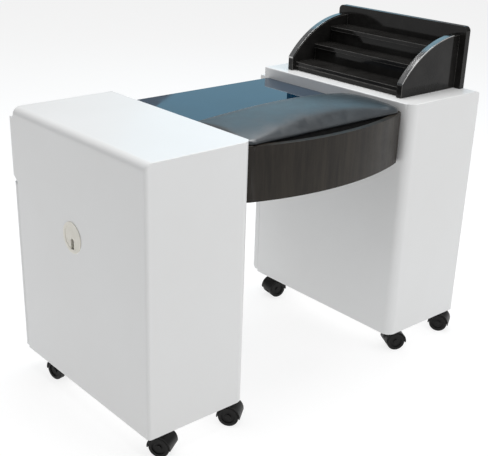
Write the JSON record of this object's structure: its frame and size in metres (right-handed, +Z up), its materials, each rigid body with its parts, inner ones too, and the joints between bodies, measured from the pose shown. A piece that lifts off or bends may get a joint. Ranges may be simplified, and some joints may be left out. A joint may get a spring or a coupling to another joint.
{
  "type": "manicure table",
  "caption": "Manicure table on casters: white cabinets with drawers and doors, glass top, bowed apron with armrest cushion, stepped display rack",
  "frame": {"origin": "On the floor, at the bottom centre of the whole table's box.", "axes": "+X runs along the table towards the cabinet with the rack, +Y from the client towards the technician (drawers and doors face +Y), +Z up."},
  "size_m": [1.16, 0.617, 0.922],
  "materials": {
    "white_lacquer": "glossy white lacquer on fibreboard",
    "white_melamine": "satin white melamine on board",
    "steel": "zinc plated",
    "ivory_plastic": "satin moulded plastic",
    "blue_glass": "polished blue tinted glass",
    "black_board": "satin black laminate on board",
    "dark_laminate": "dark brown-black laminate on bent board",
    "spacer_rubber": "matte rubber",
    "charcoal_vinyl": "grained charcoal vinyl over foam",
    "gloss_black": "high gloss black laminate on board",
    "chrome_trim": "polished metal edging",
    "hood_plastic": "black moulded nylon",
    "wheel_plastic": "black moulded nylon"
  },
  "bodies": {
    "table": {"left_top": "white_lacquer", "left_outer_side": "white_lacquer", "left_inner_side": "white_lacquer", "left_client_end": "white_lacquer", "left_bottom": "white_lacquer", "right_top": "white_lacquer", "right_outer_side": "white_lacquer", "right_inner_side": "white_lacquer", "right_client_end": "white_lacquer", "right_bottom": "white_lacquer", "drawer_dividers": "white_melamine", "cabinet_shelves": "white_melamine", "shelf_pegs": "steel", "fixed_runners": "steel", "door_pivots": "steel", "cable_port_ring": "ivory_plastic", "glass_top": "blue_glass", "deck_board": "black_board", "deck_cleats": "black_board", "rear_rail": "black_board", "apron": "dark_laminate", "armrest_spacers": "spacer_rubber", "armrest_base": "black_board", "armrest_pad": "charcoal_vinyl", "rack_client_side": "gloss_black", "rack_technician_side": "gloss_black", "rack_back": "gloss_black", "rack_treads": "gloss_black", "rack_risers": "gloss_black", "rack_trims": "chrome_trim", "caster_mounts": "steel", "caster_screws": "steel"},
    "left_drawer": {"left_drawer_front": "white_lacquer", "left_drawer_box": "white_melamine", "left_drawer_bottom": "white_melamine", "left_drawer_runners": "steel"},
    "right_drawer": {"right_drawer_front": "white_lacquer", "right_drawer_box": "white_melamine", "right_drawer_bottom": "white_melamine", "right_drawer_runners": "steel"},
    "left_door_leaf": {"left_door": "white_lacquer"},
    "right_door_leaf": {"right_door": "white_lacquer"},
    "port_cap": {"cable_port_cap": "ivory_plastic"},
    "caster_1_swivel": {"caster_1_hood": "hood_plastic"},
    "caster_1_wheelset": {"caster_1_wheels": "wheel_plastic"},
    "caster_2_swivel": {"caster_2_hood": "hood_plastic"},
    "caster_2_wheelset": {"caster_2_wheels": "wheel_plastic"},
    "caster_3_swivel": {"caster_3_hood": "hood_plastic"},
    "caster_3_wheelset": {"caster_3_wheels": "wheel_plastic"},
    "caster_4_swivel": {"caster_4_hood": "hood_plastic"},
    "caster_4_wheelset": {"caster_4_wheels": "wheel_plastic"},
    "caster_5_swivel": {"caster_5_hood": "hood_plastic"},
    "caster_5_wheelset": {"caster_5_wheels": "wheel_plastic"},
    "caster_6_swivel": {"caster_6_hood": "hood_plastic"},
    "caster_6_wheelset": {"caster_6_wheels": "wheel_plastic"},
    "caster_7_swivel": {"caster_7_hood": "hood_plastic"},
    "caster_7_wheelset": {"caster_7_wheels": "wheel_plastic"},
    "caster_8_swivel": {"caster_8_hood": "hood_plastic"},
    "caster_8_wheelset": {"caster_8_wheels": "wheel_plastic"}
  },
  "joints": [
    {"name": "left_drawer_slide", "type": "slide", "parent": "table", "child": "left_drawer", "axis": [0, 1, 0], "range_m": [0, 0.33]},
    {"name": "right_drawer_slide", "type": "slide", "parent": "table", "child": "right_drawer", "axis": [0, 1, 0], "range_m": [0, 0.33]},
    {"name": "left_door_hinge", "type": "hinge", "parent": "table", "child": "left_door_leaf", "pos_m": [-0.565, 0.2995, 0.3085], "axis": [0, 0, 1], "range_deg": [0, 110]},
    {"name": "right_door_hinge", "type": "hinge", "parent": "table", "child": "right_door_leaf", "pos_m": [0.565, 0.2995, 0.3085], "axis": [0, 0, -1], "range_deg": [0, 110]},
    {"name": "port_cap_turn", "type": "hinge", "parent": "table", "child": "port_cap", "pos_m": [-0.575, 0.0235, 0.484], "axis": [-1, 0, 0], "continuous": true},
    {"name": "caster_1_turn", "type": "hinge", "parent": "table", "child": "caster_1_swivel", "pos_m": [-0.533, 0.2205, 0.055], "axis": [0, 0, 1], "continuous": true},
    {"name": "caster_1_spin", "type": "hinge", "parent": "caster_1_swivel", "child": "caster_1_wheelset", "pos_m": [-0.52883, 0.19686, 0.027], "axis": [0.9848, 0.1736, 0], "continuous": true},
    {"name": "caster_2_turn", "type": "hinge", "parent": "table", "child": "caster_2_swivel", "pos_m": [-0.533, -0.2445, 0.055], "axis": [0, 0, 1], "continuous": true},
    {"name": "caster_2_spin", "type": "hinge", "parent": "caster_2_swivel", "child": "caster_2_wheelset", "pos_m": [-0.52028, -0.26485, 0.027], "axis": [0.848, 0.5299, 0], "continuous": true},
    {"name": "caster_3_turn", "type": "hinge", "parent": "table", "child": "caster_3_swivel", "pos_m": [-0.319, -0.2445, 0.055], "axis": [0, 0, 1], "continuous": true},
    {"name": "caster_3_spin", "type": "hinge", "parent": "caster_3_swivel", "child": "caster_3_wheelset", "pos_m": [-0.30422, -0.26341, 0.027], "axis": [0.788, 0.6157, 0], "continuous": true},
    {"name": "caster_4_turn", "type": "hinge", "parent": "table", "child": "caster_4_swivel", "pos_m": [-0.319, 0.2205, 0.055], "axis": [0, 0, 1], "continuous": true},
    {"name": "caster_4_spin", "type": "hinge", "parent": "caster_4_swivel", "child": "caster_4_wheelset", "pos_m": [-0.33978, 0.2325, 0.027], "axis": [-0.5, -0.866, 0], "continuous": true},
    {"name": "caster_5_turn", "type": "hinge", "parent": "table", "child": "caster_5_swivel", "pos_m": [0.319, 0.2205, 0.055], "axis": [0, 0, 1], "continuous": true},
    {"name": "caster_5_spin", "type": "hinge", "parent": "caster_5_swivel", "child": "caster_5_wheelset", "pos_m": [0.29536, 0.22467, 0.027], "axis": [-0.1736, -0.9848, 0], "continuous": true},
    {"name": "caster_6_turn", "type": "hinge", "parent": "table", "child": "caster_6_swivel", "pos_m": [0.319, -0.2445, 0.055], "axis": [0, 0, 1], "continuous": true},
    {"name": "caster_6_spin", "type": "hinge", "parent": "caster_6_swivel", "child": "caster_6_wheelset", "pos_m": [0.33978, -0.2565, 0.027], "axis": [0.5, 0.866, 0], "continuous": true},
    {"name": "caster_7_turn", "type": "hinge", "parent": "table", "child": "caster_7_swivel", "pos_m": [0.533, -0.2445, 0.055], "axis": [0, 0, 1], "continuous": true},
    {"name": "caster_7_spin", "type": "hinge", "parent": "caster_7_swivel", "child": "caster_7_wheelset", "pos_m": [0.545, -0.26528, 0.027], "axis": [0.866, 0.5, 0], "continuous": true},
    {"name": "caster_8_turn", "type": "hinge", "parent": "table", "child": "caster_8_swivel", "pos_m": [0.533, 0.2205, 0.055], "axis": [0, 0, 1], "continuous": true},
    {"name": "caster_8_spin", "type": "hinge", "parent": "caster_8_swivel", "child": "caster_8_wheelset", "pos_m": [0.545, 0.24128, 0.027], "axis": [-0.866, 0.5, 0], "continuous": true}
  ]
}
